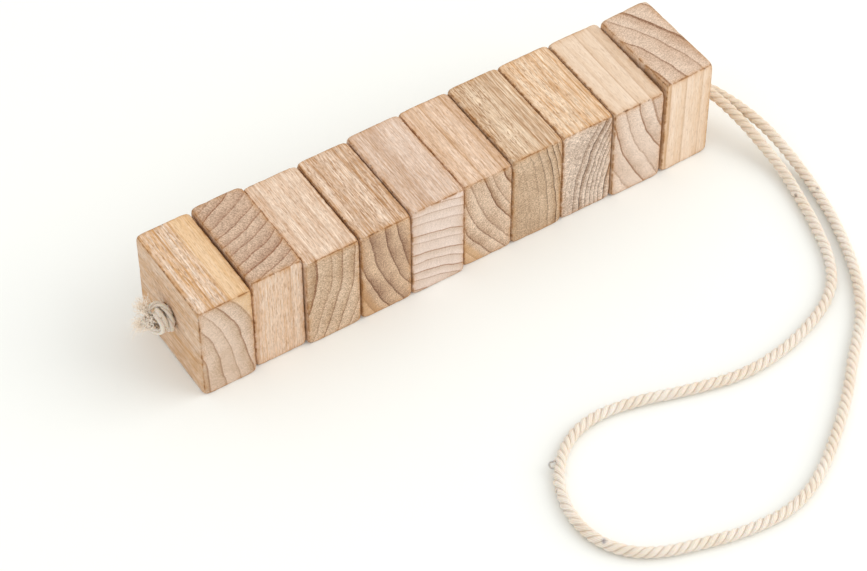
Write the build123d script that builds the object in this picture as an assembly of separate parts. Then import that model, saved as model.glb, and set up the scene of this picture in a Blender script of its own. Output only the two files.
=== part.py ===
# A string of wooden blocks: ten small planed hardwood blocks threaded side by side on a doubled
# cotton cord, with a knot at one end and a long free loop at the other.
#
# Frame: millimetres, +Z up, +X along the row from the knot to the loop, +Y to the back of the row.
# The origin is under the middle of the row, on the surface that the blocks stand on.

from build123d import *
import math
import os

# ---- driving dimensions ----

cord_diameter = 4.0            # three-strand cotton cord
strand_offset = 2.05           # the two strands lie side by side, this far from the bore's axis
bore_diameter = 8.8            # room for both strands and for the block to turn
bore_height = 20.0             # the bores' common axis above the table
bore_mouth = 0.4               # sanded chamfer at each end of a bore
edge_radius = 1.2              # hand-rounded edges

knot_size = (8.8, 11.0, 11.6)  # the lump of the knot, along X, Y and Z
knot_rise = 2.4                # the lump sits a little above the bore's axis
knot_gap = 0.4                 # play between the knot and the first block
tail_length = 8.5              # each frayed end, from the middle of the knot outwards
tail_radius = (1.9, 2.7)       # at the knot and at its frayed tip

# Every block was sawn and sanded by hand, so each has its own size. Thickness is along the
# cord. Grain is the length along the wood's grain and across is the width across it.
# shift is how far the block sits to the back of the bore's axis.
block_sizes = {
    "block_01": dict(thickness=19.6, grain=40.6, across=40.0, shift=-0.9),
    "block_02": dict(thickness=18.9, grain=41.0, across=39.2, shift=-0.2),
    "block_03": dict(thickness=20.2, grain=40.2, across=39.4, shift=-1.0),
    "block_04": dict(thickness=19.2, grain=40.6, across=39.4, shift=-0.8),
    "block_05": dict(thickness=20.4, grain=41.2, across=40.0, shift=-0.5),
    "block_06": dict(thickness=19.1, grain=41.0, across=38.8, shift=0.8),
    "block_07": dict(thickness=19.8, grain=40.8, across=39.8, shift=0.6),
    "block_08": dict(thickness=20.1, grain=40.6, across=39.6, shift=0.8),
    "block_09": dict(thickness=20.1, grain=40.8, across=39.8, shift=0.2),
    "block_10": dict(thickness=19.4, grain=41.8, across=38.4, shift=-0.5),
}
gaps = [0.9, 0.4, 0.7, 0.4, 0.8, 0.4, 0.5, 0.4, 0.8]   # between one block and the next
upright_blocks = ("block_02", "block_10")             # turned a quarter, so the grain stands up
skewed_block, skew_angle = "block_10", 1.6            # the last block sits slightly askew

row_length = sum(size["thickness"] for size in block_sizes.values()) + sum(gaps)
row_end = row_length / 2


# ---- blocks ----

def make_block(name, middle):
    """One block, its bore on the common axis, standing on z = 0 with its middle at x = middle."""
    size = block_sizes[name]
    depth, height = size["grain"], size["across"]
    if name in upright_blocks:
        depth, height = height, depth
    body = Box(size["thickness"], depth, height)
    body = fillet(body.edges(), edge_radius)
    if name == skewed_block:
        body = body.rotate(Axis.Z, skew_angle)
    body = Pos(middle, size["shift"], height / 2) * body
    half = size["thickness"] / 2
    bore = Pos(middle, 0, bore_height) * Rot(0, 90, 0) * Cylinder(bore_diameter / 2, 3 * half)
    body -= bore
    for side in (-1, 1):
        mouth = Cone(bore_diameter / 2 + bore_mouth, bore_diameter / 2, bore_mouth)
        turned = Rot(0, 90 if side < 0 else -90, 0) * mouth
        body -= Pos(middle + side * (half - bore_mouth / 2), 0, bore_height) * turned
    return body


def make_row():
    """All the blocks, from the knot's end to the loop's end."""
    blocks = {}
    left = -row_end
    for name, gap in zip(block_sizes, gaps + [0]):
        thickness = block_sizes[name]["thickness"]
        blocks[name] = make_block(name, left + thickness / 2)
        left += thickness + gap
    return blocks


# ---- cord ----

# The route of the free loop, from inside the last block's bore, along the table and back to it.
# It lies on the table, half a diameter up, except where it hangs from the bore.
lay = cord_diameter / 2
loop_start = row_end - 4.0
strand_end = loop_start - 0.3  # the straight strands stop just short of the loop's tilted ends
loop_route = [
    (loop_start, strand_offset, bore_height), (102.5, 1.6, 19.3), (107.0, -0.6, 17.9),
    (110.5, -4.1, 16.2), (113.5, -9.5, 14.6), (116.5, -17.0, 11.7), (119.8, -26.5, 8.4),
    (122.0, -37.0, 4.8), (122.0, -50.0, 2.3), (119.5, -64.5, lay), (115.5, -78.5, lay), (110.5, -91.5, lay),
    (104.5, -103.0, lay), (96.5, -113.5, lay), (86.0, -123.0, lay), (74.5, -135.0, lay),
    (61.0, -146.5, lay), (46.5, -157.0, lay), (32.0, -163.0, lay), (15.0, -162.5, lay),
    (-1.0, -158.5, lay), (-16.5, -153.5, lay), (-27.0, -143.5, lay), (-30.0, -129.0, lay),
    (-25.5, -113.5, lay), (-15.0, -102.5, lay), (-2.0, -98.0, lay), (14.0, -100.0, lay),
    (32.0, -106.0, lay), (51.0, -110.5, lay), (69.0, -109.0, lay), (86.0, -103.5, lay),
    (98.5, -96.0, lay), (106.0, -84.5, lay), (110.5, -71.0, lay), (114.0, -57.5, lay),
    (116.5, -44.5, 2.9), (116.0, -33.0, 5.8), (114.5, -23.0, 9.4), (112.3, -15.5, 12.6),
    (109.6, -9.2, 15.5), (106.3, -4.9, 17.9), (102.3, -2.2, 19.7),
    (loop_start, -strand_offset, bore_height),
]
arc_share = 0.45               # of the shorter run, taken by the arc at each corner


def corner_radii(route):
    """The largest radius that each corner's two runs allow."""
    points = [Vector(*point) for point in route]
    radii = []
    for before, here, after in zip(points, points[1:], points[2:]):
        turn = (here - before).get_angle(after - here)
        shorter = min((here - before).length, (after - here).length)
        radii.append(arc_share * shorter / math.tan(math.radians(turn / 2)))
    return radii


def make_loop():
    """The free loop: straight runs joined by tangent arcs, swept with the cord's section."""
    radii = corner_radii(loop_route)
    path = FilletPolyline(*loop_route, radius=radii)
    start = Plane(origin=path @ 0, z_dir=path % 0)
    tube = sweep(start * Circle(cord_diameter / 2), path=path)
    expected = math.pi * lay ** 2 * path.length
    print("loop radii", [round(radius, 1) for radius in radii])
    print("loop length", round(path.length, 1), "volume share", round(tube.volume / expected, 4))
    return tube


def make_strand(side, knot):
    """One straight strand through all the bores, from the knot to the start of the free loop."""
    start = knot_middle.X
    rod = Rot(0, 90, 0) * Cylinder(cord_diameter / 2, strand_end - start)
    return Pos((start + strand_end) / 2, side * strand_offset, bore_height) * rod - knot


# ---- knot ----

knot_middle = Vector(-row_end - knot_gap - knot_size[0] / 2, -0.8, bore_height + knot_rise)


def make_knot():
    """The plain outer shape of the knot: a lump that can't pass through the first bore."""
    lump = scale(Sphere(1), by=tuple(size / 2 for size in knot_size))
    return Pos(*knot_middle) * lump


def make_tail(direction, knot):
    """One frayed end, a cone that widens from the knot outwards."""
    cone = Cone(tail_radius[0], tail_radius[1], tail_length,
                align=(Align.CENTER, Align.CENTER, Align.MIN))
    return (Plane(origin=knot_middle, z_dir=direction) * cone) - knot


# ---- write one STEP for each piece ----

knot = make_knot()
pieces = make_row()
pieces["cord_loop"] = make_loop()
pieces["strand_front"] = make_strand(-1, knot)
pieces["strand_back"] = make_strand(1, knot)
pieces["end_knot"] = knot
pieces["frayed_end_upper"] = make_tail((-4.5, 4.8, 7.0), knot)
pieces["frayed_end_lower"] = make_tail((-8.0, 3.3, -1.5), knot)

os.makedirs("parts", exist_ok=True)
for name, piece in pieces.items():
    export_step(piece, f"parts/{name}.step")
    print(name, round(piece.volume, 1))
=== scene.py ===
# A row of ten bare wooden blocks threaded side by side on a doubled twisted cotton cord. The cord
# is knotted and frayed at the left end, and its free loop lies on a pale table to the right.

import math
import random

import bpy
from mathutils import Euler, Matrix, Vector, noise


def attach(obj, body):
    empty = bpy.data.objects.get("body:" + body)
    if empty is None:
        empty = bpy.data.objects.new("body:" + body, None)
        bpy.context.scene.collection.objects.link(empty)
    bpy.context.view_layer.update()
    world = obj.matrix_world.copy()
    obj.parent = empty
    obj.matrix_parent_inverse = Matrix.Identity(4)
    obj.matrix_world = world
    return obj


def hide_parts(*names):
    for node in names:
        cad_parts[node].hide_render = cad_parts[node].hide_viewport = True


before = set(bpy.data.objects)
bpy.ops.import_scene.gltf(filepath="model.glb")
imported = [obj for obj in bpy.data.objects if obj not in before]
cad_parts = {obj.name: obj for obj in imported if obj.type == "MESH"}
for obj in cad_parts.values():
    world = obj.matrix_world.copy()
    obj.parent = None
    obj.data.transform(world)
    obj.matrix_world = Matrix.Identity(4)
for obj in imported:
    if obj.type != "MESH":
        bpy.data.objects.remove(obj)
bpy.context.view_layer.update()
millimetre = 0.001


# A colour written as sRGB hex, as the linear RGBA that the shaders take.
def linear(hexColour):
    channels = [int(hexColour[i:i + 2], 16) / 255 for i in (1, 3, 5)]
    return [c / 12.92 if c < 0.04045 else ((c + 0.055) / 1.055) ** 2.4 for c in channels] + [1.0]


# One shader node, with its properties set and its inputs filled by name or number.
def addNode(tree, kind, inputs=(), **properties):
    node = tree.nodes.new("ShaderNode" + kind)
    for name, value in properties.items():
        setattr(node, name, value)
    for socket, value in dict(inputs).items():
        if isinstance(value, bpy.types.NodeSocket):
            tree.links.new(value, node.inputs[socket])
        else:
            node.inputs[socket].default_value = value
    return node


def maths(tree, operation, *values, clamp=False):
    node = addNode(tree, "Math", dict(enumerate(values)), operation=operation, use_clamp=clamp)
    return node.outputs[0]


def vectorMaths(tree, operation, *values):
    return addNode(tree, "VectorMath", dict(enumerate(values)), operation=operation).outputs[0]


def scaled(tree, vector, factor):
    return addNode(tree, "VectorMath", {0: vector, "Scale": factor}, operation="SCALE").outputs[0]


def lengthOf(tree, vector):
    return addNode(tree, "VectorMath", {0: vector}, operation="LENGTH").outputs["Value"]


def mixColour(tree, factor, a, b):
    node = addNode(tree, "Mix", {0: factor, 6: a, 7: b}, data_type="RGBA", clamp_factor=True)
    return node.outputs[2]


# A value mapped from low..high to start..end, and held at start or end outside that.
def spread(tree, value, low, high, start=0.0, end=1.0, smooth=False):
    node = addNode(tree, "MapRange", {0: value, 1: low, 2: high, 3: start, 4: end},
                   interpolation_type="SMOOTHSTEP" if smooth else "LINEAR")
    return node.outputs[0]


def noiseAt(tree, vector, scale, detail=2.0, roughness=0.5):
    return addNode(tree, "TexNoise", {"Vector": vector, "Scale": scale, "Detail": detail,
                                      "Roughness": roughness})


def newMaterial(name):
    material = bpy.data.materials.new(name)
    material.use_nodes = True
    tree = material.node_tree
    tree.nodes.clear()
    return material, tree


# A mesh object at the origin, with its place in its vertices.
def newObject(name, vertices, faces, material, smooth=True):
    mesh = bpy.data.meshes.new(name)
    mesh.from_pydata(vertices, [], faces)
    mesh.polygons.foreach_set("use_smooth", [smooth] * len(mesh.polygons))
    mesh.materials.append(material)
    thing = bpy.data.objects.new(name, mesh)
    bpy.context.scene.collection.objects.link(thing)
    return thing


def makeCamera():
    lens = bpy.data.cameras.new("camera")
    lens.lens = 126.3
    lens.sensor_width = 36.0
    lens.clip_start, lens.clip_end = 0.05, 20.0
    camera = bpy.data.objects.new("camera", lens)
    camera.location = (-0.37585, -0.59075, 0.7681)
    camera.rotation_euler = Euler([math.radians(a) for a in (41.33, 0.15, -32.70)])
    bpy.context.scene.collection.objects.link(camera)
    bpy.context.scene.camera = camera


def makeLamp(name, place, aim, size, watts, colour):
    data = bpy.data.lights.new(name, "AREA")
    data.shape, data.size, data.size_y = "RECTANGLE", size[0], size[1]
    data.energy, data.color = watts, linear(colour)[:3]
    lamp = bpy.data.objects.new(name, data)
    lamp.location = place
    lamp.rotation_euler = (Vector(aim) - Vector(place)).to_track_quat("-Z", "Y").to_euler()
    bpy.context.scene.collection.objects.link(lamp)


# A pale matt board, much wider than the view.
def makeTable():
    material, tree = newMaterial("white_painted_board")
    surface = addNode(tree, "BsdfPrincipled", {"Base Color": linear("#f4f5f2"), "Roughness": 0.75,
                                               "Specular IOR Level": 0.25})
    addNode(tree, "OutputMaterial", {"Surface": surface.outputs[0]})
    half, below = 3.0, -0.0001
    corners = [(x * half, y * half, below) for x, y in ((-1, -1), (1, -1), (1, 1), (-1, 1))]
    newObject("table", corners, [(0, 1, 2, 3)], material, smooth=False)


def lightScene():
    world = bpy.data.worlds.new("studio")
    bpy.context.scene.world = world
    world.use_nodes = True
    world.node_tree.nodes["Background"].inputs[0].default_value = linear("#fefefc")
    world.node_tree.nodes["Background"].inputs[1].default_value = 0.98
    makeLamp("window", (1.25, -0.75, 1.05), (0, 0, 0), (1.6, 1.6), 14.0, "#fffefc")
    view = bpy.context.scene.view_settings
    view.view_transform = "Standard"
    view.look = "None"


makeCamera()
makeTable()
lightScene()
print("camera, light and table ready")


# Sizes are in millimetres. grain and across are the block's length along and across its grain, and
# shift is how far it sits to the back. pith is the tree's middle, in the plane across the grain,
# from the block's own middle. ring is the usual width of one year's growth there.
blocks = {
    "block_01": dict(middle=-91.25, thickness=19.6, grain=40.6, across=40.0, shift=-0.9,
                     pith=(-61, -19), ring=5.2, ringStart=0.2, lines=0.65, pores=0.7, streaks=0.8,
                     flesh="#eedecf", streak="#c79865", end="#dac3b0", endLine="#8a5f3f",
                     late="#a98661", sapwood=(74.5, 0.8, "#e7c190"), openSide=-1, speckle=0.8),
    "block_02": dict(middle=-71.1, thickness=18.9, grain=41.0, across=39.2, shift=-0.2, upright=True,
                     pith=(-40, 90), ring=4.3, ringStart=0.0, lines=0.9, pores=0.45, streaks=0.5,
                     flesh="#e8d8c9", streak="#ca9f77", end="#cbaf97", endLine="#8d6043",
                     late="#a88369"),
    "block_03": dict(middle=-51.15, thickness=20.2, grain=40.2, across=39.4, shift=-1.0,
                     pith=(-93, 20), ring=4.6, ringStart=0.5, lines=0.75, pores=0.5, streaks=0.6,
                     flesh="#fae8d5", streak="#c49f80", end="#d4baa0", endLine="#7c5134",
                     late="#9d7851"),
    "block_04": dict(middle=-30.75, thickness=19.2, grain=40.6, across=39.4, shift=-0.8,
                     pith=(104, 33), ring=4.8, ringStart=0.4, lines=0.85, pores=0.8, streaks=0.7,
                     flesh="#f5e0cc", streak="#ab7c4e", end="#d7b899", endLine="#60351a",
                     late="#7d5338", sapwood=(118.2, 1.0, "#cda274")),
    "block_05": dict(middle=-10.55, thickness=20.4, grain=41.2, across=40.0, shift=-0.5,
                     pith=(-22, -75), ring=4.4, ringStart=0.3, lines=0.8, pores=0.3, streaks=0.6,
                     flesh="#edd9ca", streak="#b99475", end="#e6d3c8", endLine="#a57d65",
                     late="#c8b09b", speckle=0.45),
    "block_06": dict(middle=10.0, thickness=19.1, grain=41.0, across=38.8, shift=0.8,
                     pith=(80, 41), ring=4.4, ringStart=0.1, lines=0.8, pores=0.5, streaks=0.5,
                     flesh="#f0d7c2", streak="#be956e", end="#dfc6ae", endLine="#6a3a1a",
                     late="#98714e", sapwood=(100.8, 1.0, "#d3a877")),
    "block_07": dict(middle=29.85, thickness=19.8, grain=40.8, across=39.8, shift=0.6,
                     pith=(-150, -20), ring=2.2, ringStart=0.6, lines=0.9, pores=1.0, streaks=0.6,
                     flesh="#fae5ca", streak="#9f7246", end="#cdb296", endLine="#3b200e",
                     late="#967451", lined=(151, 157), pored=(1, -1)),
    "block_08": dict(middle=50.3, thickness=20.1, grain=40.6, across=39.6, shift=0.8,
                     pith=(85, -22), ring=2.1, ringStart=0.0, lines=1.0, pores=0.7, streaks=0.7,
                     flesh="#f7e5cd", streak="#bf8a52", end="#e6d3c2", endLine="#321a0c",
                     late="#845f40", lined=(92, 87), pored=(6, 2)),
    "block_09": dict(middle=70.8, thickness=20.1, grain=40.8, across=39.8, shift=0.2,
                     pith=(93, 37), ring=5.6, ringStart=0.7, lines=0.8, pores=0.25, streaks=0.05,
                     flesh="#f5e3d0", streak="#d0b090", end="#e4cfbe", endLine="#8f6344",
                     late="#b89980", speckle=0.8),
    "block_10": dict(middle=91.35, thickness=19.4, grain=41.8, across=38.4, shift=-0.5, upright=True,
                     yaw=1.6, pith=(-75, -28), ring=6.6, ringStart=0.35, lines=0.85, pores=0.25,
                     streaks=0.0, flesh="#f5e7da", streak="#d3ac81", end="#dac2ad",
                     endLine="#805739", late="#b99579", openSide=1, speckle=0.8),
}
bore = dict(radius=4.4, height=20.0, easing=0.2)
# The tints that all the blocks share.
wood = dict(pore="#8a5a30", ringLine="#9a6a3c", goldenWearAndGapShade="#b9803c", dirt="#7a4a1e", nick="#5e3719")
# Sanded edges: rounding is the usual radius, uneven its change along an edge and corner what a
# corner gains within cornerReach. Wear runs from 0 to 1 and fades over reach from an edge. On the
# faces between blocks it is at least the gap value, which is painted shade in the gaps; on the knot's
# face it is at least open. dent is the deepest nick.
edges = dict(rounding=0.45, uneven=0.2, corner=1.0, cornerReach=3.5, reach=0.9, gap=0.65, open=0.38,
             mouth=0.75, inBore=0.3, dent=0.45)


# Solid wood: growth rings around the pith, pores and fibres along the grain, darker end grain and
# handled edges. It is drawn through the whole block, so every face shows its own cut.
def makeWood(name, block):
    material, tree = newMaterial("sanded_hardwood_" + name[-2:])
    upright = block.get("upright", False)
    height = block["grain"] if upright else block["across"]
    place = addNode(tree, "TexCoord")
    middle = (block["middle"] * millimetre, block["shift"] * millimetre, height / 2 * millimetre)
    local = vectorMaths(tree, "SUBTRACT", place.outputs["Object"], middle)
    local = scaled(tree, local, 1.0 / millimetre)
    axes = addNode(tree, "SeparateXYZ", {0: local})
    along, other = (2, 1) if upright else (1, 2)
    # From here x and z lie across the grain and y runs along it, all in millimetres.
    trunk = addNode(tree, "CombineXYZ", {0: axes.outputs[0], 1: axes.outputs[along],
                                         2: axes.outputs[other]}).outputs[0]
    seed = float(name[-2:]) * 37.0
    shifted = vectorMaths(tree, "ADD", trunk, (seed, seed * 1.7, seed * 0.6))

    # growth rings, wavy and unevenly wide
    sway = noiseAt(tree, vectorMaths(tree, "MULTIPLY", shifted, (1.0, 0.16, 1.0)), 0.05, 3.0)
    sway = vectorMaths(tree, "SUBTRACT", sway.outputs["Color"], (0.5, 0.5, 0.5))
    fromPith = vectorMaths(tree, "SUBTRACT", vectorMaths(tree, "ADD", trunk, scaled(tree, sway, 4.5)),
                           (block["pith"][0], 0.0, block["pith"][1]))
    flat = vectorMaths(tree, "MULTIPLY", fromPith, (1.0, 0.0, 1.0))
    radius = lengthOf(tree, flat)
    uneven = addNode(tree, "TexNoise", {"W": radius, "Scale": 0.09, "Detail": 1.0},
                     noise_dimensions="1D").outputs[0]
    ring = maths(tree, "ADD", maths(tree, "DIVIDE", radius, block["ring"]),
                 maths(tree, "MULTIPLY_ADD", uneven, 3.6 / block["ring"], block["ringStart"]))
    part = maths(tree, "FRACT", ring)
    number = maths(tree, "FLOOR", ring)
    strength = addNode(tree, "TexWhiteNoise", {"W": number}, noise_dimensions="1D").outputs[0]
    strength = spread(tree, strength, 0.0, 1.0, 0.4, 1.0)
    if "lined" in block:
        strength = maths(tree, "MULTIPLY", strength, spread(tree, radius, *block["lined"], 0.2, 1.0))
    line = maths(tree, "MULTIPLY", spread(tree, part, 0.80, 0.93, smooth=True),
                 spread(tree, part, 0.95, 1.0, 1.0, 0.0, smooth=True))
    shade = maths(tree, "MULTIPLY", spread(tree, part, 0.10, 0.92, smooth=True),
                  spread(tree, part, 0.94, 1.0, 1.0, 0.0, smooth=True))
    line = maths(tree, "MULTIPLY", line, strength)
    shade = maths(tree, "MULTIPLY", shade, strength)

    # fibres and pores, drawn out along the grain
    lengthwise = vectorMaths(tree, "MULTIPLY", shifted, (1.0, 0.03, 1.0))
    fibre = spread(tree, noiseAt(tree, lengthwise, 1.9, 3.0, 0.65).outputs[0], 0.34, 0.66)
    bands = spread(tree, noiseAt(tree, lengthwise, 0.24, 2.0).outputs[0], 0.36, 0.64)
    fine = noiseAt(tree, vectorMaths(tree, "MULTIPLY", shifted, (1.0, 0.06, 1.0)), 2.9, 2.0, 0.7)
    fine = spread(tree, fine.outputs[0], 0.34, 0.66)
    pore = noiseAt(tree, vectorMaths(tree, "MULTIPLY", shifted, (1.0, 0.20, 1.0)), 2.2, 1.0)
    pore = spread(tree, pore.outputs[0], 0.57, 0.67, smooth=True)
    if "pored" in block:   # pores open on one side only, from one place across the block to another
        pore = maths(tree, "MULTIPLY", pore, spread(tree, axes.outputs[0], *block["pored"], 0.1, 1.0))
    poreDepth = maths(tree, "MULTIPLY", pore, 0.6 * block["pores"])

    # where the surface cuts across the fibres
    facing = addNode(tree, "SeparateXYZ", {0: place.outputs["Normal"]}).outputs[along]
    endGrain = spread(tree, maths(tree, "ABSOLUTE", facing), 0.55, 0.85, smooth=True)

    # long grain
    tone = maths(tree, "MULTIPLY_ADD", fibre, 0.40, maths(tree, "MULTIPLY", bands, 0.22))
    tone = maths(tree, "MULTIPLY_ADD", fine, 0.38, tone)
    tone = maths(tree, "MULTIPLY_ADD", maths(tree, "SUBTRACT", tone, 0.5), 0.5 + block["streaks"], 0.5)
    tone = maths(tree, "MULTIPLY_ADD", shade, 0.25, tone, clamp=True)
    long = mixColour(tree, tone, linear(block["flesh"]), linear(block["streak"]))
    dash = noiseAt(tree, vectorMaths(tree, "MULTIPLY", shifted, (1.0, 0.16, 1.0)), 2.1, 3.0, 0.75)
    depth = 0.16 * min(1.0, 0.2 + block["streaks"])
    dash = spread(tree, dash.outputs[0], 0.38, 0.62, 1 + depth, 1 - depth)
    long = mixColour(tree, poreDepth, scaled(tree, long, dash), linear(wood["pore"]))
    long = mixColour(tree, maths(tree, "MULTIPLY", line, 0.45 * block["lines"]), long,
                     linear(wood["ringLine"]))

    # end grain: specks, short rays out from the pith, darker late wood and a line at each ring's end
    speckle = block.get("speckle", 1.0)
    speck = spread(tree, noiseAt(tree, shifted, 2.3, 3.0, 0.8).outputs[0], 0.38, 0.62)
    turned = addNode(tree, "SeparateXYZ", {0: flat})
    aroundPith = maths(tree, "MULTIPLY", maths(tree, "ARCTAN2", turned.outputs[2], turned.outputs[0]),
                       math.hypot(*block["pith"]))
    polar = addNode(tree, "CombineXYZ", {0: aroundPith, 1: maths(tree, "MULTIPLY", radius, 0.16)})
    ray = spread(tree, noiseAt(tree, polar.outputs[0], 2.4, 2.0, 0.6).outputs[0], 0.36, 0.66)
    blotch = noiseAt(tree, shifted, 0.07, 3.0, 0.6).outputs[0]
    blotch = spread(tree, blotch, 0.36, 0.68, smooth=True)
    mottle = maths(tree, "MULTIPLY_ADD", speck, 0.65, maths(tree, "MULTIPLY", ray, 0.25))
    late = maths(tree, "MULTIPLY_ADD", shade, 0.75 * block["lines"], maths(tree, "MULTIPLY", blotch, 0.3))
    late = maths(tree, "MULTIPLY_ADD", mottle, 0.65 * speckle,
                 maths(tree, "SUBTRACT", late, 0.2 * speckle), clamp=True)
    end = mixColour(tree, late, linear(block["end"]), linear(block["late"]))
    ragged = maths(tree, "MULTIPLY", line, maths(tree, "MULTIPLY_ADD", mottle, 0.8, 0.6))
    end = mixColour(tree, maths(tree, "MULTIPLY", ragged, 1.3 * block["lines"], clamp=True), end,
                    linear(block["endLine"]))
    depth = 0.27 * speckle
    end = scaled(tree, end, spread(tree, mottle, 0.1, 0.8, 1 + depth, 1 - depth))
    if "sapwood" in block:
        edge, softness, tint = block["sapwood"]
        outside = spread(tree, radius, edge - softness, edge + softness, smooth=True)
        outside = maths(tree, "MULTIPLY", outside, spread(tree, fine, 0.0, 1.0, 0.75, 0.35))
        long = mixColour(tree, outside, long, linear(tint))
        end = mixColour(tree, outside, end, linear(tint))
    colour = mixColour(tree, endGrain, long, end)

    # edges burnished golden by handling, with dark nicks along the arrises; the wood around the bore's
    # mouth and inside the bore is tinted golden-brown too
    # On the faces between blocks the wear value is painted shade in the gaps, so there the golden, dirt and
    # nick tints below are painted shade.
    wearAndGapShade = addNode(tree, "Attribute", attribute_name="wearAndGapShade").outputs["Fac"]
    rub = noiseAt(tree, shifted, 0.30, 4.0, 0.7).outputs[0]
    goldenWearAndGapShade = maths(tree, "MULTIPLY", wearAndGapShade, spread(tree, rub, 0.36, 0.62, 0.15, 1.0), clamp=True)
    colour = mixColour(tree, maths(tree, "MULTIPLY", goldenWearAndGapShade, 0.85), colour, linear(wood["goldenWearAndGapShade"]))
    dark = maths(tree, "MULTIPLY", spread(tree, wearAndGapShade, 0.60, 0.95, smooth=True),
                 spread(tree, rub, 0.42, 0.60, 0.1, 1.0))
    colour = mixColour(tree, maths(tree, "MULTIPLY", dark, 0.7), colour, linear(wood["dirt"]))
    nick = noiseAt(tree, shifted, 0.9, 3.0, 0.6).outputs[0]
    nick = maths(tree, "MULTIPLY", spread(tree, nick, 0.61, 0.69, smooth=True),
                 spread(tree, wearAndGapShade, 0.45, 0.8))
    colour = mixColour(tree, maths(tree, "MULTIPLY", nick, 0.6), colour, linear(wood["nick"]))

    # sanding scratches, open pores and nicks in the surface
    grit = noiseAt(tree, vectorMaths(tree, "MULTIPLY", shifted, (1.0, 0.08, 1.0)), 3.0, 3.0, 0.6).outputs[0]
    relief = maths(tree, "SUBTRACT", maths(tree, "MULTIPLY", grit, 0.05),
                   maths(tree, "MULTIPLY", poreDepth, 0.10))
    relief = maths(tree, "SUBTRACT", relief, maths(tree, "MULTIPLY", nick, 0.25))
    relief = maths(tree, "SUBTRACT", relief, maths(tree, "MULTIPLY", speck,
                                                   maths(tree, "MULTIPLY", endGrain, 0.04)))
    bump = addNode(tree, "Bump", {"Strength": 1.0, "Distance": millimetre, "Height": relief})
    surface = addNode(tree, "BsdfPrincipled", {
        "Base Color": colour,
        "Roughness": spread(tree, fibre, 0.0, 1.0, 0.52, 0.68),
        "Specular IOR Level": 0.35,
        "Normal": bump.outputs[0],
    })
    addNode(tree, "OutputMaterial", {"Surface": surface.outputs[0]})
    return material


# Positions from 0 to length, close together at both ends, where the edges are rounded.
def steps(length, fine):
    half = [0.0]
    while half[-1] < length / 2:
        half.append(half[-1] + min(fine * 1.22 ** len(half), 2.2))
    half = [d * (length / 2) / half[-1] for d in half]
    return half + [length - d for d in reversed(half[:-1])]


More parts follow.
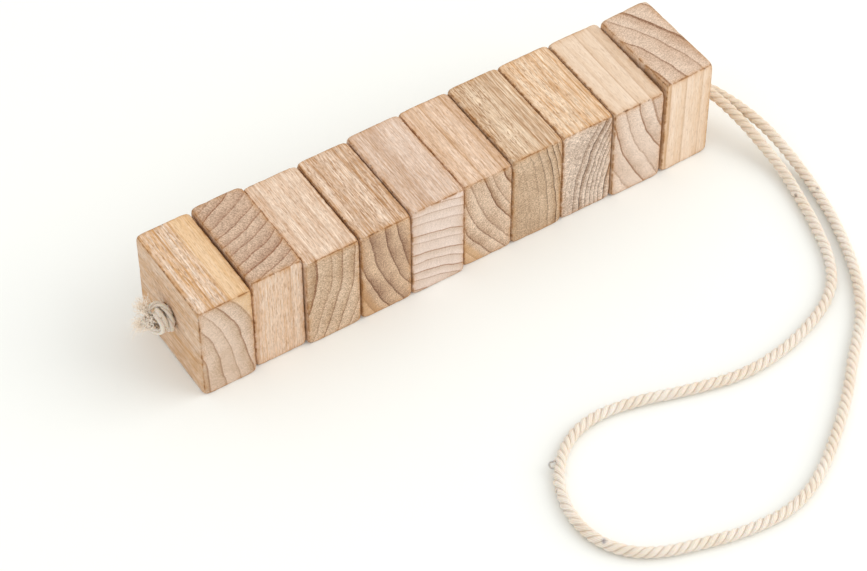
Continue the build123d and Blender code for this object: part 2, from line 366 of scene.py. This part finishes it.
# One hand-sanded block with its bore. Its rounding changes along every edge, which a bevel can't
# give, so the mesh is built directly. It runs as a band: out over the left face, across the sides,
# in over the right face and back through the bore.
def makeBlock(name, block):
    upright = block.get("upright", False)
    depth, height = block["grain"], block["across"]
    if upright:
        depth, height = height, depth
    half = Vector((block["thickness"] / 2, depth / 2, height / 2))
    seed = float(name[-2:]) * 11.3
    middle = Vector((0, -block["shift"], bore["height"] - height / 2))

    outline = []
    for d in steps(depth, 0.25)[:-1]:
        outline.append((-half.y + d, -half.z))
    for d in steps(height, 0.25)[:-1]:
        outline.append((half.y, -half.z + d))
    for d in steps(depth, 0.25)[:-1]:
        outline.append((half.y - d, half.z))
    for d in steps(height, 0.25)[:-1]:
        outline.append((-half.y, half.z - d))

    easing = bore["easing"]
    mouth = bore["radius"] + easing
    fromHole = [d / 14.0 for d in steps(14.0, 0.25)]
    quarter = [math.radians(a) for a in (22.5, 45.0, 67.5)]
    rings = []
    for share in fromHole:
        rings.append(("face", -half.x, share))
    for d in steps(block["thickness"], 0.22)[1:-1]:
        rings.append(("side", -half.x + d, 1.0))
    for share in reversed(fromHole):
        rings.append(("face", half.x, share))
    for angle in quarter:
        inward = easing * (1 - math.cos(angle))
        rings.append(("bore", half.x - inward, mouth - easing * math.sin(angle)))
    for share in (1.0, 0.5, 0.0):
        rings.append(("bore", -half.x + easing + share * (2 * half.x - 2 * easing), bore["radius"]))
    for angle in reversed(quarter):
        inward = easing * (1 - math.cos(angle))
        rings.append(("bore", -half.x + inward, mouth - easing * math.sin(angle)))

    vertices, wearAndGapShade = [], []
    turn = math.radians(block.get("yaw", 0.0))
    for kind, x, amount in rings:
        for y, z in outline:
            away = (Vector((0, y, z)) - middle).normalized()
            if kind == "bore":
                point = middle + away * amount
                point.x = x
                used = edges["mouth"] if abs(x) > half.x - easing - 0.01 else edges["inBore"]
            else:
                rim = middle + away * mouth
                point = Vector((x, rim.y + (y - rim.y) * amount, rim.z + (z - rim.z) * amount))
                gaps = sorted(half[i] - abs(point[i]) for i in range(3))
                inGap = kind == "face" and x * block.get("openSide", 0) <= 0
                used = math.exp(-max(0.0, gaps[1] - 0.1) / edges["reach"])
                if inGap:
                    # faces between blocks: a raised wear value paints shade into the gaps
                    used = max(used, edges["gap"])
                elif kind == "face" and x < 0:
                    used = max(used, edges["open"])
                if kind == "face":
                    used = max(used, edges["mouth"] * math.exp(-amount * 6.5))
                corner = 1.0 - min(1.0, max(0.0, gaps[2] / edges["cornerReach"]))
                rounding = edges["rounding"] + edges["corner"] * corner * corner
                rounding += edges["uneven"] * noise.noise(point * 0.12 + Vector((seed, 0, 0)))
                core = Vector(max(-half[i] + rounding, min(half[i] - rounding, point[i])) for i in range(3))
                push = point - core
                if push.length > rounding:
                    point = core + push * (rounding / push.length)
                if used > 0.2:
                    dent = max(0.0, noise.noise(point * 0.55 + Vector((0, 0, seed))) - 0.22)
                    point -= push.normalized() * dent * edges["dent"] * used
            spot = Vector((point.x * math.cos(turn) - point.y * math.sin(turn),
                           point.x * math.sin(turn) + point.y * math.cos(turn), point.z))
            spot += Vector((block["middle"], block["shift"], height / 2))
            vertices.append(spot * millimetre)
            wearAndGapShade.append(used)

    around, count = len(outline), len(rings)
    faces = []
    for i in range(count):
        for j in range(around):
            after, beside = (i + 1) % count, (j + 1) % around
            faces.append((i * around + j, i * around + beside, after * around + beside, after * around + j))
    piece = newObject("wooden_" + name, vertices, faces, makeWood(name, block))
    piece.data.attributes.new("wearAndGapShade", "FLOAT", "POINT").data.foreach_set("value", wearAndGapShade)
    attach(piece, name)
    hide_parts(name)


for blockName, blockLook in blocks.items():
    makeBlock(blockName, blockLook)
print("ten blocks ready")


# The route of the free loop in millimetres, from inside the last block and back into it.
cord = dict(
    diameter=4.0, lay=9.2, strand=1.0, offset=0.94,   # strand is a strand's radius, offset its middle's
    pale="#fcf4ea", cream="#f3e5d4", grooveShade="#c0915f", shadeBetweenYarns="#c9a57b",
    fibre="#fdf8f1", fibreAgainstLight="#fdf7ef",
    # yellowed by handling around a point at the mouth of the last bore, fading between two distances
    handled=dict(place=(104.0, -2.0, 19.0), full=8.0, none=60.0, tint="#d9bc97"),
    # the strands through the blocks: where they start, how finely they are drawn and how far each
    # lies from the bore's axis
    through=dict(start=-100.0, spacing=0.6, count=329, offset=2.08),
    # small dark flecks caught in the yarn: place, size across and tint
    flecks=[((120.6, -58.4, 3.6), 1.1, "#6b4a35"), ((112.8, -56.4, 3.2), 0.9, "#5c4030"),
            ((-27.0, -142.0, 3.8), 1.3, "#8d8791"), ((-28.0, -117.3, 2.8), 0.8, "#7d6a62")],
    # a yarn pulled out into a short loop at the far bend
    pulled=[(-21.6, -107.4, 3.2), (-23.6, -106.8, 3.5), (-24.5, -107.9, 3.0), (-24.0, -109.4, 2.8),
            (-22.0, -110.2, 3.0)],
    route=[
        (97.05, 2.05, 20.0), (102.5, 1.8, 18.8), (107.0, -0.7, 16.8), (110.5, -4.4, 14.2),
        (113.7, -9.6, 12.8), (116.8, -16.5, 11.3), (120.0, -25.8, 8.8), (122.0, -36.5, 5.3),
        (122.0, -50.0, 2.3), (119.5, -64.5, 2.05), (115.5, -78.5, 2.05), (110.5, -91.5, 2.05),
        (104.5, -103.0, 2.05), (96.5, -113.5, 2.05), (86.0, -123.0, 2.05), (74.5, -135.0, 2.05),
        (61.0, -146.5, 2.05), (46.5, -157.0, 2.05), (32.0, -163.0, 2.05), (15.0, -162.5, 2.05),
        (-1.0, -158.5, 2.05), (-16.5, -153.5, 2.05), (-27.0, -143.5, 2.05), (-30.0, -129.0, 2.05),
        (-25.5, -113.5, 2.05), (-15.0, -102.5, 2.05), (-2.0, -98.0, 2.05), (14.0, -100.0, 2.05),
        (32.0, -106.0, 2.05), (51.0, -110.5, 2.05), (69.0, -109.0, 2.05), (86.0, -103.5, 2.05),
        (98.5, -96.0, 2.05), (106.0, -84.5, 2.05), (110.5, -71.0, 2.05), (114.0, -57.5, 2.05),
        (116.5, -44.5, 2.9), (116.0, -33.0, 5.8), (114.5, -23.0, 9.4), (112.2, -15.6, 12.9),
        (109.3, -9.6, 16.1), (106.0, -5.3, 18.4), (102.3, -2.0, 19.9), (97.05, -2.05, 20.0),
    ],
)


# Points along a smooth spline through the route, evenly spaced, in millimetres.
def routePoints(name, points, spacing):
    data = bpy.data.curves.new(name, "CURVE")
    data.dimensions = "3D"
    data.resolution_u = 24
    spline = data.splines.new("NURBS")
    spline.points.add(len(points) - 1)
    for target, point in zip(spline.points, points):
        target.co = (*point, 1.0)
    spline.order_u = 3
    spline.use_endpoint_u = True
    holder = bpy.data.objects.new(name, data)
    mesh = bpy.data.meshes.new_from_object(holder)
    dense = [vertex.co.copy() for vertex in mesh.vertices]
    bpy.data.objects.remove(holder)
    bpy.data.curves.remove(data)
    bpy.data.meshes.remove(mesh)
    total = sum((b - a).length for a, b in zip(dense, dense[1:]))
    count = max(2, round(total / spacing))
    even, walked, index = [dense[0].copy()], 0.0, 0
    for step in range(1, count):
        want = total * step / count
        while walked + (dense[index + 1] - dense[index]).length < want:
            walked += (dense[index + 1] - dense[index]).length
            index += 1
        part = (want - walked) / (dense[index + 1] - dense[index]).length
        even.append(dense[index].lerp(dense[index + 1], part))
    return even + [dense[-1].copy()], total


# The direction of travel and a side direction at each point, carried along without twisting.
def carriedFrames(points):
    travels = []
    for i in range(len(points)):
        travels.append((points[min(i + 1, len(points) - 1)] - points[max(i - 1, 0)]).normalized())
    side = travels[0].orthogonal().normalized()
    sides = [side]
    for before, after in zip(travels, travels[1:]):
        side = before.rotation_difference(after) @ side
        side = (side - after * side.dot(after)).normalized()
        sides.append(side)
    return travels, sides


# A tube around the points, added to the mesh being built, with its ends closed.
def addTube(mesh, points, radii, around):
    travels, sides = carriedFrames(points)
    first = len(mesh["vertices"])
    for i, point in enumerate(points):
        up = travels[i].cross(sides[i])
        for j in range(around):
            angle = math.tau * j / around
            arm = sides[i] * math.cos(angle) + up * math.sin(angle)
            mesh["vertices"].append((point + arm * radii[i]) * millimetre)
    for i in range(len(points) - 1):
        for j in range(around):
            a, b = first + i * around, first + (i + 1) * around
            beside = (j + 1) % around
            mesh["faces"].append((a + j, a + beside, b + beside, b + j))
            mesh["corners"].append(((j / around, i), ((j + 1) / around, i),
                                    ((j + 1) / around, i + 1), (j / around, i + 1)))
    mesh["faces"].append(tuple(first + j for j in reversed(range(around))))
    mesh["corners"].append(tuple((0.5, 0) for j in range(around)))
    last = first + (len(points) - 1) * around
    mesh["faces"].append(tuple(last + j for j in range(around)))
    mesh["corners"].append(tuple((0.5, len(points) - 1) for j in range(around)))


def emptyMesh():
    return dict(vertices=[], faces=[], corners=[])


# Adds one built mesh to another.
def joinMesh(mesh, added):
    base = len(mesh["vertices"])
    mesh["vertices"] += added["vertices"]
    mesh["faces"] += [tuple(base + vertex for vertex in face) for face in added["faces"]]
    mesh["corners"] += added["corners"]


# Three strands laid left-handed around the points. The size may change evenly from one end to the
# other. Returns the strands' own points.
def addRope(mesh, points, size=(1.0, 1.0), lay=cord["lay"], start=0.0, around=14, seed=0.0):
    travels, sides = carriedFrames(points)
    spacing = (points[1] - points[0]).length
    strands = []
    for strand in range(3):
        middle, radii = [], []
        for i, point in enumerate(points):
            angle = start + math.tau * (strand / 3 - i * spacing / lay)
            up = travels[i].cross(sides[i])
            arm = sides[i] * math.cos(angle) + up * math.sin(angle)
            here = size[0] + (size[1] - size[0]) * i / (len(points) - 1)
            here *= 1 + 0.05 * noise.noise(Vector((i * spacing * 0.25, strand * 9.1, seed)))
            middle.append(point + arm * cord["offset"] * here)
            radii.append(cord["strand"] * here)
        addTube(mesh, middle, radii, around)
        strands.append(middle)
    return strands


# How far each point of the surface is from a spot, in millimetres.
def distanceFrom(tree, surface, spot):
    apart = vectorMaths(tree, "SUBTRACT", surface, [v * millimetre for v in spot])
    return lengthOf(tree, scaled(tree, apart, 1.0 / millimetre))


# Bleached cotton yarn: cream, matt and softly hairy, with warmer painted shade down between the strands.
def cottonMaterial():
    material, tree = newMaterial("twisted_cotton")
    uv = addNode(tree, "UVMap", uv_map="yarn")
    across = addNode(tree, "SeparateXYZ", {0: uv.outputs[0]})
    # Each strand is about eleven yarns, twisted the other way to the strands themselves.
    phase = maths(tree, "ADD", maths(tree, "MULTIPLY", across.outputs[0], 11.0),
                  maths(tree, "MULTIPLY", across.outputs[1], 0.95))
    wave = maths(tree, "SINE", maths(tree, "MULTIPLY", phase, math.tau))
    wave = spread(tree, wave, -1.0, 1.0)
    place = addNode(tree, "TexCoord")
    fluff = noiseAt(tree, place.outputs["Object"], 1600.0, 4.0, 0.7).outputs[0]
    stain = noiseAt(tree, place.outputs["Object"], 60.0, 3.0, 0.6).outputs[0]
    colour = mixColour(tree, spread(tree, stain, 0.35, 0.7), linear(cord["pale"]), linear(cord["cream"]))
    # painted shade: darker, warmer colour down between the strands
    grooveShade = addNode(tree, "Attribute", attribute_name="grooveShade").outputs["Fac"]
    colour = mixColour(tree, maths(tree, "MULTIPLY", grooveShade, 0.8), colour, linear(cord["grooveShade"]))
    # painted shade in the fine creases between the yarns
    colour = mixColour(tree, maths(tree, "MULTIPLY", spread(tree, wave, 0.5, 0.0), 0.45), colour,
                       linear(cord["shadeBetweenYarns"]))
    handled = cord["handled"]
    apart = distanceFrom(tree, place.outputs["Object"], handled["place"])
    colour = mixColour(tree, spread(tree, apart, handled["full"], handled["none"], 0.40, 0.0, smooth=True),
                       colour, linear(handled["tint"]))
    for spot, size, tint in cord["flecks"]:
        apart = distanceFrom(tree, place.outputs["Object"], spot)
        near = spread(tree, apart, size * 0.4, size, 0.85, 0.0)
        colour = mixColour(tree, maths(tree, "MULTIPLY", near, spread(tree, fluff, 0.35, 0.6, 0.4, 1.0)),
                           colour, linear(tint))
    height = maths(tree, "ADD", maths(tree, "MULTIPLY", wave, 0.13), maths(tree, "MULTIPLY", fluff, 0.16))
    bump = addNode(tree, "Bump", {"Strength": 1.0, "Distance": millimetre, "Height": height})
    surface = addNode(tree, "BsdfPrincipled", {
        "Base Color": colour, "Roughness": 0.85, "Specular IOR Level": 0.2,
        "Sheen Weight": 0.25, "Sheen Roughness": 0.5, "Normal": bump.outputs[0],
        "Subsurface Weight": 0.25, "Subsurface Radius": (0.9, 0.6, 0.38), "Subsurface Scale": 0.001,
    })
    addNode(tree, "OutputMaterial", {"Surface": surface.outputs[0]})
    return material


cotton = cottonMaterial()


# Single cotton fibres, thin enough for light to come through.
def looseCottonMaterial():
    material, tree = newMaterial("loose_cotton_fibres")
    lit = addNode(tree, "BsdfDiffuse", {"Color": linear(cord["fibre"])})
    through = addNode(tree, "BsdfTranslucent", {"Color": linear(cord["fibreAgainstLight"])})
    both = addNode(tree, "MixShader", {0: 0.6, 1: lit.outputs[0], 2: through.outputs[0]})
    addNode(tree, "OutputMaterial", {"Surface": both.outputs[0]})
    return material


looseCotton = looseCottonMaterial()


# The built mesh as an object, with its yarn coordinates and groove shading.
def finishYarn(name, mesh, spacing, grooveShades=None, finish=cotton):
    piece = newObject(name, mesh["vertices"], mesh["faces"], finish, smooth=finish == cotton)
    layer = piece.data.uv_layers.new(name="yarn")
    flat = []
    for face in mesh["corners"]:
        for across, along in face:
            flat += [across, along * spacing]
    layer.data.foreach_set("uv", flat)
    values = grooveShades if grooveShades else [0.0] * len(mesh["vertices"])
    piece.data.attributes.new("grooveShade", "FLOAT", "POINT").data.foreach_set("value", values)
    return piece


# How deep each vertex lies between the strands: 0 on the crests, 1 near the middle. The cotton
# paints shade by this value.
def grooveShadeValues(mesh, points, around, outer):
    values = []
    count = len(points)
    for index, vertex in enumerate(mesh["vertices"]):
        ring = (index // around) % count
        reach = (vertex / millimetre - points[ring]).length
        values.append(max(0.0, min(1.0, (outer * 0.86 - reach) / (outer * 0.4))))
    return values


def makeLoop():
    points, length = routePoints("loop_route", cord["route"], 0.45)
    mesh = emptyMesh()
    strands = addRope(mesh, points, around=14)
    grooveShades = grooveShadeValues(mesh, points, 14, cord["diameter"] / 2)
    loop = finishYarn("free_loop", mesh, 0.45, grooveShades)
    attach(loop, "cord")
    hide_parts("cord_loop")
    print("free loop", round(length, 1), "mm")
    return loop, points, strands, length


loop, loopPoints, loopStrands, loopLength = makeLoop()


# The two strands inside the bores, seen only in the gaps between blocks.
def makeThroughStrands():
    mesh, grooveShades = emptyMesh(), []
    through = cord["through"]
    for side in (-1, 1):
        single = emptyMesh()
        points = [Vector((through["start"] + through["spacing"] * i, side * through["offset"],
                          bore["height"])) for i in range(through["count"])]
        addRope(single, points, around=10, start=side)
        grooveShades += grooveShadeValues(single, points, 10, cord["diameter"] / 2)
        joinMesh(mesh, single)
    strands = finishYarn("through_strands", mesh, through["spacing"], grooveShades)
    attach(strands, "cord")
    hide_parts("strand_front", "strand_back")


makeThroughStrands()


# The two ends of the cord, tied over each other. One makes an arch over the top of the lump, and the
# other a fat lobe down its front. Each route starts in the first bore and ends where it frays. The
# cord is squeezed thinner along it (size), and its lay is pulled out long. Beyond its end, yarns of
# that length open out around the fray direction. The core's yarns fill the lump, the tangle's curl
# out of the hollow behind the lobe, and the wisp's stay together.
knot = dict(
    arch=dict(
        route=[(-99.5, 2.0, 20.0), (-102.4, -2.0, 18.2), (-103.6, -5.3, 18.8), (-102.7, -5.1, 21.4),
               (-102.5, -3.3, 24.3), (-102.7, -0.8, 25.8), (-104.2, 1.5, 26.0), (-106.2, 2.2, 25.5),
               (-107.6, 1.8, 24.0), (-107.4, 0.6, 22.8), (-108.3, 1.8, 23.4), (-108.6, 2.9, 24.4)],
        size=(0.74, 0.50), lay=11.0, fray=(-0.20, 0.74, 0.66), length=6.6, yarns=46, opening=0.42),
    lobe=dict(
        route=[(-99.5, -2.0, 20.0), (-102.4, -0.4, 21.2), (-104.0, 0.8, 22.8), (-105.4, -0.3, 24.1),
               (-105.6, -2.3, 24.4), (-105.4, -4.0, 23.4), (-105.5, -4.9, 21.6), (-105.9, -4.5, 19.6),
               (-107.3, -3.2, 18.9), (-108.9, -1.7, 20.2), (-109.8, 0.0, 21.6), (-110.2, 1.0, 22.4)],
        size=(1.1, 0.6), lay=30.0, fray=(-0.80, 0.25, -0.30), length=5.0, yarns=34, opening=0.34),
    wisp=dict(start=(-110.6, 0.6, 21.4), aim=(-0.80, -0.15, -0.50), length=7.0),
    tangle=dict(middle=(-108.0, -0.6, 21.4), reach=1.6, aim=(-0.75, 0.1, 0.1), yarns=40),
    core=dict(middle=(-105.6, -1.8, 21.9), reach=1.35, yarns=80),
)


# A loose fibre's points, wandering more and more from its first direction.
def straying(chance, start, out, length, count, wander, droop=0.0):
    here, way, points = Vector(start), Vector(out).normalized(), [Vector(start)]
    for _ in range(count):
        swerve = Vector([chance.gauss(0, wander) for _ in range(3)]) - Vector((0, 0, droop))
        way = (way + swerve).normalized()
        here = here + way * length / count
        here.z = max(here.z, 0.1)
        points.append(here.copy())
    return points


def makeKnot():
    chance = random.Random(4)
    mesh, grooveShades = emptyMesh(), []
    fluff = emptyMesh()
    for end in (knot["arch"], knot["lobe"]):
        points = routePoints("knot_route", end["route"], 0.3)[0]
        single = emptyMesh()
        strands = addRope(single, points, end["size"], end["lay"], start=end["length"], seed=end["length"])
        grooveShades += [0.15 * value for value in
                    grooveShadeValues(single, points, 14, cord["diameter"] / 2 * sum(end["size"]) / 2)]
        joinMesh(mesh, single)
        # the strands open out into crinkled yarns, and those into single fibres
        out = Vector(end["fray"]).normalized()
        for number in range(end["yarns"]):
            start = strands[number % 3][-3 - number % 5]
            start = start + Vector([chance.uniform(-0.45, 0.45) for _ in range(3)])
            aim = out + Vector([chance.gauss(0, end["opening"]) for _ in range(3)])
            yarn = straying(chance, start, aim, end["length"] * chance.uniform(0.45, 1.0), 12, 0.24, 0.01)
            thick = chance.uniform(0.13, 0.24)
            addTube(fluff, yarn, [thick * (1 - 0.055 * i) for i in range(len(yarn))], 6)
            for _ in range(3):
                root = yarn[chance.randrange(3, 12)]
                aim = out + Vector([chance.gauss(0, 0.7) for _ in range(3)])
                hair = straying(chance, root, aim, chance.uniform(1.0, 2.6), 6, 0.32, 0.02)
                addTube(fluff, hair, [0.045] * len(hair), 3)
    before = len(mesh["vertices"])
    for _ in range(knot["core"]["yarns"]):   # yarns deep in the knot, golden-brown as painted shade in its hollows
        start = Vector(knot["core"]["middle"])
        start += Vector([chance.gauss(0, 0.6) for _ in range(3)]) * knot["core"]["reach"]
        aim = [chance.gauss(0, 1) for _ in range(3)]
        addTube(mesh, straying(chance, start, aim, 2.6, 10, 0.4), [0.32] * 11, 6)
    # the core's yarns take strong painted groove shade
    grooveShades += [0.8] * (len(mesh["vertices"]) - before)
    for _ in range(knot["tangle"]["yarns"]):   # curled yarns that fill the hollow behind the lobe
        start = Vector(knot["tangle"]["middle"])
        start += Vector([chance.gauss(0, 0.5) for _ in range(3)]) * knot["tangle"]["reach"]
        aim = Vector(knot["tangle"]["aim"]) + Vector([chance.gauss(0, 0.6) for _ in range(3)])
        yarn = straying(chance, start, aim, chance.uniform(2.0, 3.8), 10, 0.42)
        addTube(fluff, yarn, [chance.uniform(0.20, 0.30)] * len(yarn), 6)
    for number in range(7):   # the longest yarns stay together as a pointed wisp
        start = Vector(knot["wisp"]["start"]) + Vector([chance.uniform(-0.5, 0.5) for _ in range(3)])
        yarn = straying(chance, start, knot["wisp"]["aim"], knot["wisp"]["length"] - 0.5 * number, 12, 0.09)
        addTube(fluff, yarn, [0.17 - 0.012 * i for i in range(len(yarn))], 6)
    for _ in range(160):
        root = Vector(chance.choice(mesh["vertices"][:9000])) / millimetre
        aim = root - Vector((-105.8, -0.5, 22.0))
        hair = straying(chance, root, aim, chance.uniform(0.8, 2.0), 4, 0.5)
        addTube(fluff, hair, [0.03] * len(hair), 3)
    piece = finishYarn("knot_and_frayed_ends", mesh, 0.3, grooveShades)
    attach(piece, "cord")
    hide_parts("end_knot", "frayed_end_upper", "frayed_end_lower")
    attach(finishYarn("knot_fluff", fluff, 0.3, finish=looseCotton), "cord")


makeKnot()


# Short fibres that stand out from the free loop, and one yarn pulled out at its far bend.
fuzz = dict(count=3600, lengths=(0.7, 1.0, 1.4, 2.2), radii=[0.035, 0.032, 0.028, 0.02, 0.01])


def makeFuzz():
    chance = random.Random(9)
    mesh = emptyMesh()
    for _ in range(fuzz["count"]):
        index = chance.randrange(20, len(loopPoints) - 20)
        strand = loopStrands[chance.randrange(3)][index]
        away = (strand - loopPoints[index]).normalized()
        travel = (loopPoints[index + 1] - loopPoints[index]).normalized() * chance.choice((-1, 1))
        aim = away * chance.uniform(0.3, 1.2) + travel
        start = strand + away * cord["strand"] * 0.9
        hair = straying(chance, start, aim, chance.choice(fuzz["lengths"]), 4, 0.28)
        addTube(mesh, hair, fuzz["radii"], 3)
    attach(finishYarn("cotton_fuzz", mesh, 0.3, finish=looseCotton), "cord")
    pulled = emptyMesh()
    points = routePoints("pulled_route", cord["pulled"], 0.25)[0]
    addRope(pulled, points, (0.20, 0.17), lay=4.0, around=8)
    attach(finishYarn("pulled_yarn", pulled, 0.25), "cord")


makeFuzz()
print("cord ready")
